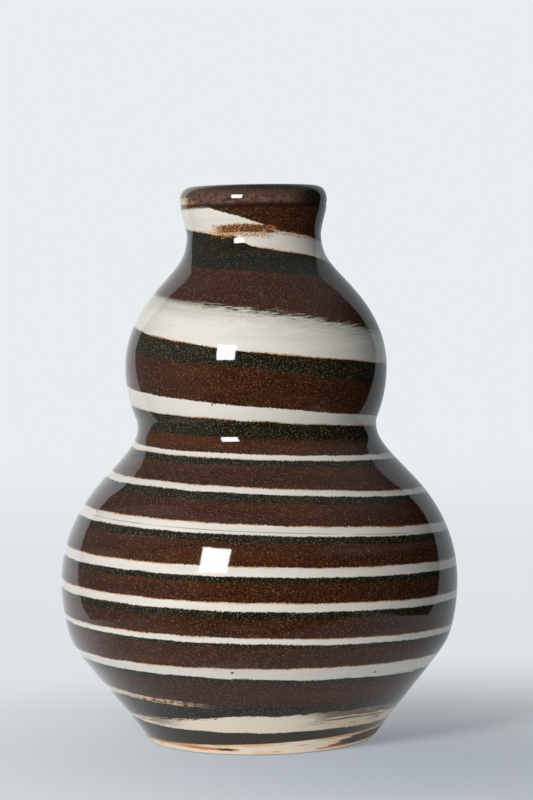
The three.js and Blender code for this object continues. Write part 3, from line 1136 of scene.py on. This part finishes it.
def lip_material():
    """Brown clay under a pale veil that is a painted reflection, black over the crest and at the right,
    with a smear at the left, and painted shade low in the groove.
    """
    material, graph = new_material("brown_clay_lip")
    x, y, z = millimetres(graph)
    mottle = noise(scaled(x, y, z, across=0.5, up=0.9), detail=4.0, roughness=0.8)
    uneven = mottle - 0.5
    crest = between(z + uneven * 10, *CREST_HEIGHTS) * between(x + mottle * 20, *CREST_SIDES)
    right = between(x + uneven * 12, *RIGHT_SIDE)
    # Painted reflection: a pale veil stands in for the room mirrored on the lip.
    colour = mix(between(mottle, 0.3, 0.7) * 0.75, brown_clay(x, y, z), LIP_PAINTED_REFLECTION)
    colour = mix(larger(crest, right), colour, black_clay(x, y, z))
    crumbs = noise(scaled(x, y, z, across=0.6, up=1.4), detail=2.0, roughness=0.7) - 0.5
    smear = between(x + crumbs * 8, *SMEAR_SIDE) * window(z + crumbs * 2, *SMEAR_HEIGHTS)
    colour = mix(smear * 0.75, colour, IRON_TAN)
    spot = between(x + crumbs * 5, *SPOT_SIDE) * window(z + crumbs * 2, *SPOT_HEIGHTS)
    colour = mix(spot * 0.85, colour, PEACH)
    # Painted shade: the lowest part of the lip, in the groove, is darkened.
    groove_shade = between(z, LIP_SEAT + GROOVE_HEIGHT, LIP_SEAT + GROOVE_HEIGHT / 3)
    colour = mix(groove_shade * 0.8, colour, BROWN_DEEP)
    glaze_over(graph, colour, glaze_relief(x, y, z))
    return material


lip = turned_ring("glazed_lip", [lip_section()] * len(ROUND), ROUND, True)
lip.data.materials.append(lip_material())
finish_piece(lip, "lip")

# %% [markdown]
# ## The bare foot
#
# The foot was trimmed when leather-hard and left without glaze, so it is matt, and the kiln's
# flame has turned it orange in places. A wedge of brown clay lies in its edge at the right. The
# seam's height is a formula in the mesh and in the material alike, so the burnt line follows it.

# %% The sections of the bare foot and of the brown wedge in its edge
FOOT_BEVEL = 0.7
BEVEL_RISE = 0.28
BEVEL_STEPS = 3
FOOT_RING_WIDTH = 5.5
FOOT_RECESS = 1.5
RECESS_SLOPE = (0.6, 0.5)
FLOOR_COVE = 4.0
EDGE_ROWS = 5


def wall_point(z, inside):
    if inside:
        lifted = float(inside_height(z, FORM))
        return (float(inner_radius(np.float64(lifted), FORM)), lifted)
    return (float(outer_radius(np.float64(z), FORM)), float(z))


def foot_section(angle):
    ring_inside = FORM["foot_radius"] - FOOT_RING_WIDTH
    inside = wall_point(foot_top(angle), True)
    edge = [wall_point(z, False) for z in np.linspace(FOOT_BEVEL, wedge_bottom(angle), EDGE_ROWS)]
    bevel = [(FORM["foot_radius"] - FOOT_BEVEL + step, BEVEL_RISE * step ** 2 / FOOT_BEVEL)
             for step in np.linspace(0, FOOT_BEVEL, BEVEL_STEPS + 1)]
    slope_in, slope_down = RECESS_SLOPE
    under = [(0.0, FOOT_RECESS), (ring_inside - slope_in, FOOT_RECESS)]
    under += [(ring_inside, FOOT_RECESS - slope_down), (ring_inside, 0.0)]
    floor_edge = (inside[0] - FLOOR_COVE, FORM["floor_height"])
    return [*under, *bevel, *edge, inside, floor_edge, (0.0, FORM["floor_height"])]


def wedge_section(angle):
    tip = wall_point(foot_top(angle), True)
    outside = [wall_point(z, False) for z in np.linspace(wedge_bottom(angle), foot_top(angle), EDGE_ROWS)]
    return [*outside, tip]


# %% Bare clay, flashed orange in the kiln
BARE_ROUGHNESS = 0.75
BARE_GRAIN_HEIGHT = 0.05
BURNT_LEFT = (-12.0, -22.0)
TRAIL_DEPTHS, TRAIL_SIDES = (2.2, 2.6, 0.45), (-27.0, -8.6, 2.5)
TRAIL_HEART = (-12.6, -9.8, 1.5)
CONTACT_SHADOW_HEIGHTS = (0.5, 0.15)
STAIN_SHIFT = 40
EDGE_LINE, BURNT_LINE = (1.3, 0.3), (0.9, 0.2)


def angle_round(x, y):
    """The angle round the axis in radians, from the front towards the right."""
    return x.sum("ARCTAN2", x, -y)


def seam_height(angle):
    """The height of the foot's seam, as in foot_top, for an angle in radians."""
    return angle.sum("SINE", angle) * FOOT_TILT + FOOT_RISE


def bare_colour(x, y, z):
    """Pale clay, burnt along its upper edge, with orange stains and its grain, and a painted contact shadow
    along the edge where it stands.
    """
    depth = seam_height(angle_round(x, y)) - z
    cloud = noise(scaled(x, y, z, across=0.09, up=0.5), detail=3.0, roughness=0.6)
    grain = noise(scaled(x, y, z, across=2.2, up=2.2), detail=2.0, roughness=0.7)
    stain = noise(x.graph.vector(x * 0.11 + STAIN_SHIFT, y * 0.11, z * 0.7), detail=2.0, roughness=0.6)
    drift = (grain - 0.5) * 1.2
    colour = mix(between(cloud, 0.52, 0.8) * 0.45, BARE, BARE_FLASH)
    edge_line = between(depth + drift, *EDGE_LINE) * between(cloud, 0.36, 0.56)
    colour = mix(edge_line * 0.85, colour, STAIN_PALE)
    burnt = between(depth + drift, *BURNT_LINE) * between(x, *BURNT_LEFT)
    colour = mix(burnt * 0.5, colour, STAIN)
    trail = window(depth + drift * 0.6 - x * 0.06, *TRAIL_DEPTHS) * window(x, *TRAIL_SIDES)
    in_trail = trail * between(stain + (x + 26) * 0.02, 0.42, 0.66)
    colour = mix(trail * 0.5, colour, STAIN_PALE)
    colour = mix(larger(between(stain, 0.63, 0.72), in_trail) * 0.9, colour, STAIN)
    colour = mix(trail * window(x, *TRAIL_HEART) * 0.9, colour, SOOT_AND_SHADOW)
    colour = mix(between(grain, 0.6, 0.8) * 0.2, colour, BARE_FLASH)
    # Painted contact shadow: a thin dark line along the bottom edge, where the foot stands.
    return mix(between(z + drift * 0.1, *CONTACT_SHADOW_HEIGHTS) * 0.6, colour, SOOT_AND_SHADOW), grain


def bare_material():
    material, graph = new_material("bare_clay_foot")
    colour, grain = bare_colour(*millimetres(graph))
    relief = bump(grain * BARE_GRAIN_HEIGHT)
    surface(graph, {"Base Color": colour, "Roughness": BARE_ROUGHNESS, "Normal": relief})
    return material


# %% The smear of brown in the wedge
WEDGE_ROUGHNESS = 0.45
WEDGE_GRAIN_HEIGHT = 0.03
CREAM_LINE = 0.7
SMEAR_FLOOR, SMEAR_TIP = 1.3, 1.5
SMEAR_GROWS, SMEAR_STARTS, SMEAR_BURNS = (28.0, 52.0), (27.0, 34.0), (46.0, 34.0)
SMEAR_ENDS = (150.0, 130.0)
BURNT_STARTS = (16.0, 24.0)
SMEAR_SOFTNESS = 0.15
BURNT_HEIGHTS = (-0.3, 0.15, 0.25)


def wedge_material():
    """Brown clay under a line of cream, its dark smear streaked with a painted grey-purple sheen, with a
    burnt orange edge below it. Angles are degrees.
    """
    material, graph = new_material("brown_clay_wedge")
    x, y, z = millimetres(graph)
    turned = angle_round(x, y)
    angle = turned * (180 / math.pi)
    streaks = noise(scaled(x, y, z, across=0.05, up=1.5), detail=3.0, roughness=0.65)
    ragged_edge = streaks - 0.5
    start = angle + ragged_edge * 30
    grown = between(start, *SMEAR_GROWS) * between(angle, *SMEAR_ENDS)
    upper = (seam_height(turned) - CREAM_LINE - SMEAR_TIP) * grown + SMEAR_TIP + ragged_edge * 0.9
    lower = ragged_edge + SMEAR_FLOOR
    # Painted reflection: the dark smear's paler streaks are a grey-purple sheen.
    dark = mix(between(streaks, 0.4, 0.62), SOOT_AND_SHADOW, BROWN_REFLECTION_AND_SMEAR)
    dark = mix(between(start, *SMEAR_BURNS) * 0.8, dark, STAIN)
    under_upper = between(z - upper, SMEAR_SOFTNESS, -SMEAR_SOFTNESS)
    over_lower = between(z - lower, -SMEAR_SOFTNESS, SMEAR_SOFTNESS)
    in_smear = under_upper * over_lower * between(start, *SMEAR_STARTS)
    burnt = window(z - lower, *BURNT_HEIGHTS) * between(angle, *BURNT_STARTS)
    pale, grain = bare_colour(x, y, z)
    colour = mix(burnt * 0.85, mix(in_smear, pale, dark), STAIN)
    relief = bump(grain * WEDGE_GRAIN_HEIGHT)
    surface(graph, {"Base Color": colour, "Roughness": WEDGE_ROUGHNESS, "Normal": relief})
    return material


# %% Turn the foot and the wedge
WEDGE_STEP = 1.0

foot = turned_ring("bare_foot_disc", [foot_section(angle) for angle in ROUND], ROUND, True)
foot.data.materials.append(bare_material())
finish_piece(foot, "foot_disc")

wedge_round = np.arange(WEDGE_ANGLES[0], WEDGE_ANGLES[1] + WEDGE_STEP, WEDGE_STEP)
wedge = turned_ring("brown_foot_wedge", [wedge_section(angle) for angle in wedge_round], wedge_round, False)
wedge.data.materials.append(wedge_material())
finish_piece(wedge, "foot_brown_wedge")
print("pieces:", len(PIECES), "with", sum(triangles(p.data) for p in PIECES), "triangles in all")

# %% [markdown]
# ## The studio
#
# The vase stands on a sheet of pale paper that runs back and curves up behind it. One square
# softbox at the front left makes the crisp highlights. The paper makes the pale edges of the
# reflections, and the dark room in front of it keeps the glaze deep.
#
# The paper is laid three times: one sheet bounces light on the clay, one is what the glaze
# mirrors, and the flat floor is what the camera sees, with the vase's shadow on it.

# %% Paper and floor
PAPER = tone(214, 219, 222)
BACKGROUND = tone(232, 237, 240)
HORIZON = tone(222, 227, 231)
GLEAM_FAR, GLEAM_NEAR = tone(112, 118, 124), tone(168, 172, 175)
GLEAM_LEFT, GLEAM_RIGHT = tone(244, 249, 253), tone(168, 175, 179)
PAPER_GLOW = 0.19
MATT = {"Roughness": 0.9, "Specular IOR Level": 0.1}
PAPER_HALF_WIDTH = 200.0
PAPER_FRONT = -205.0
GLEAM_FRONT = -150.0
GLEAM_NEARS, GLEAM_BEHIND, GLEAM_ACROSS = (-150.0, -60.0), (-60.0, 40.0), (-60.0, 60.0)
RISE_AT_BACK = [(40.0, 0.0), (62.0, 14.0), (80.0, 48.0), (92.0, 75.0), (107.0, 97.0), (123.0, 120.0),
                (140.0, 150.0), (150.0, 190.0), (150.0, 420.0)]
FLOOR_REACH, FLOOR_SINK = 3000.0, 0.02
FADE_CENTRE, FLOOR_FADE = (45.0, -60.0), (0.0, 260.0)
HORIZON_REACH = (260.0, 1500.0)


def stage_mesh(name, points, faces, material):
    mesh = bpy.data.meshes.new(name)
    mesh.from_pydata([Vector(point) * MM for point in points], [], faces)
    mesh.shade_smooth()
    piece = bpy.data.objects.new(name, mesh)
    bpy.context.scene.collection.objects.link(piece)
    piece.data.materials.append(material)
    return piece


def sweep(name, front, material):
    """Paper that lies round the vase and curves up behind it. The camera looks past it."""
    section = [(front, 0.0), *RISE_AT_BACK]
    points = [(x, y, z) for y, z in section for x in (-PAPER_HALF_WIDTH, PAPER_HALF_WIDTH)]
    faces = [(2 * i, 2 * i + 1, 2 * i + 3, 2 * i + 2) for i in range(len(section) - 1)]
    piece = stage_mesh(name, points, faces, material)
    piece.visible_camera = False
    piece.visible_shadow = False
    return piece


def paper_material():
    material, graph = new_material("pale_paper")
    surface(graph, {
        "Base Color": PAPER,
        **MATT,
        "Emission Color": BACKGROUND,
        "Emission Strength": PAPER_GLOW,
    })
    return material


def gleam_material():
    """How bright the paper looks in the glaze: dim in front, bright behind, brightest at the left."""
    material, graph = new_material("paper_in_the_glaze")
    x, y, _ = millimetres(graph)
    front = mix(between(y, *GLEAM_NEARS), GLEAM_FAR, GLEAM_NEAR)
    behind = mix(between(x, *GLEAM_ACROSS), GLEAM_LEFT, GLEAM_RIGHT)
    colour = mix(between(y, *GLEAM_BEHIND), front, behind)
    glow = graph.node("ShaderNodeEmission", None, {"Color": colour})
    graph.node("ShaderNodeOutputMaterial", None, {"Surface": glow})
    return material


def floor_material():
    """Plain paper near the vase. Far off, the eye sees it run into the background."""
    material, graph = new_material("pale_floor")
    x, y, _ = millimetres(graph)
    right, back = x - FADE_CENTRE[0], y - FADE_CENTRE[1]
    far = between(root(right * right + back * back), *FLOOR_FADE)
    paper = graph.node("ShaderNodeBsdfPrincipled", None, {"Base Color": PAPER, **MATT})
    tint = mix(between(y, *HORIZON_REACH), HORIZON, BACKGROUND)
    glow = graph.node("ShaderNodeEmission", None, {"Color": tint})
    blend = graph.node("ShaderNodeMixShader", None, {0: far, 1: paper, 2: glow})
    graph.node("ShaderNodeOutputMaterial", None, {"Surface": blend})
    return material


bounce = sweep("paper_sweep", PAPER_FRONT, paper_material())
bounce.visible_glossy = False
gleam = sweep("paper_gleam", GLEAM_FRONT, gleam_material())
gleam.visible_diffuse = False
corners = [(x * FLOOR_REACH, y * FLOOR_REACH, -FLOOR_SINK) for x, y in ((-1, -1), (1, -1), (1, 1), (-1, 1))]
floor = stage_mesh("pale_floor", corners, [(0, 1, 2, 3)], floor_material())
floor.visible_glossy = False
floor.visible_diffuse = False
print("stage pieces:", ", ".join(piece.name for piece in (bounce, gleam, floor)))

# %% [markdown]
# ## The room, the lamp and the camera
#
# A glossy pot mirrors the whole room, so the room is part of the look. It could be an image, but
# a few tones mixed by direction are enough, and a Light Path node lets the camera, the glaze and
# the matt surfaces each have their own. The lamp has a real size and place, because a highlight
# is its small picture. The long lens stands far off, so the lip and foot look nearly flat.

# %% The room
FILL_LEFT, FILL_RIGHT, FILL_ACROSS = tone(138, 141, 146), tone(58, 60, 64), (-0.2, 0.9)
ROOM_LEFT, ROOM_DARK, ROOM_ACROSS = tone(120, 122, 126), tone(26, 27, 30), (-0.9, -0.35)
CEILING, CEILING_FROM = tone(128, 131, 136), (0.35, 0.85)


def room():
    """A room that is paler on the left and, in the glaze, overhead. The camera sees the background."""
    world = bpy.data.worlds.new("studio room")
    bpy.context.scene.world = world
    world.use_nodes = True
    world.node_tree.nodes.clear()
    graph = Graph(world.node_tree)
    path = graph.node("ShaderNodeLightPath")
    eye, gloss = path.other("Is Camera Ray"), path.other("Is Glossy Ray")
    across, _, up = graph.split(graph.node("ShaderNodeTexCoord", None, None, output="Generated"))
    fill = mix(between(across, *FILL_ACROSS), FILL_LEFT, FILL_RIGHT)
    mirrored = mix(between(across, *ROOM_ACROSS), ROOM_LEFT, ROOM_DARK)
    mirrored = mix(between(up, *CEILING_FROM), mirrored, CEILING)
    colour = mix(eye, mix(gloss, fill, mirrored), BACKGROUND)
    background = graph.node("ShaderNodeBackground", None, {"Color": colour, "Strength": 1.0})
    graph.node("ShaderNodeOutputWorld", None, {"Surface": background})


room()

# %% The lamp
LAMP_PLACE = Vector((-185.0, -397.0, 251.0)) * MM
LAMP_AIM = Vector((0.0, 0.0, 90.0)) * MM
LAMP_WIDTH, LAMP_HEIGHT = 126 * MM, 150 * MM
LAMP_RADIANCE = 24.4


def softbox():
    data = bpy.data.lights.new("softbox", "AREA")
    data.shape = "RECTANGLE"
    data.size, data.size_y = LAMP_WIDTH, LAMP_HEIGHT
    data.energy = LAMP_RADIANCE * math.pi * LAMP_WIDTH * LAMP_HEIGHT
    lamp = bpy.data.objects.new("softbox", data)
    bpy.context.scene.collection.objects.link(lamp)
    lamp.location = LAMP_PLACE
    lamp.rotation_euler = (LAMP_AIM - LAMP_PLACE).to_track_quat("-Z", "Y").to_euler()
    return lamp


lamp = softbox()
print("softbox:", round(lamp.data.energy, 2), "W")

# %% The camera, a long lens a little above the lower bulb
CAMERA_PLACE = Vector((3.3, -849.0, 146.2)) * MM
CAMERA_PITCH = math.radians(2.42)
CAMERA_ROLL = math.radians(0.9)
FOCAL_PIXELS, LONG_SIDE_PIXELS, SENSOR = 2600.0, 800.0, 36.0
FARTHEST_SEEN = 20.0

camera_data = bpy.data.cameras.new("camera")
camera_data.sensor_width = SENSOR
camera_data.lens = FOCAL_PIXELS / LONG_SIDE_PIXELS * SENSOR
camera_data.clip_end = FARTHEST_SEEN
camera = bpy.data.objects.new("camera", camera_data)
bpy.context.scene.collection.objects.link(camera)
level = Euler((math.pi / 2 - CAMERA_PITCH, 0, 0)).to_matrix().to_4x4()
camera.matrix_world = Matrix.Translation(CAMERA_PLACE) @ level @ Matrix.Rotation(-CAMERA_ROLL, 4, "Z")
bpy.context.scene.camera = camera
bpy.context.scene.view_settings.view_transform = "Standard"
print("lens:", round(camera_data.lens), "mm")
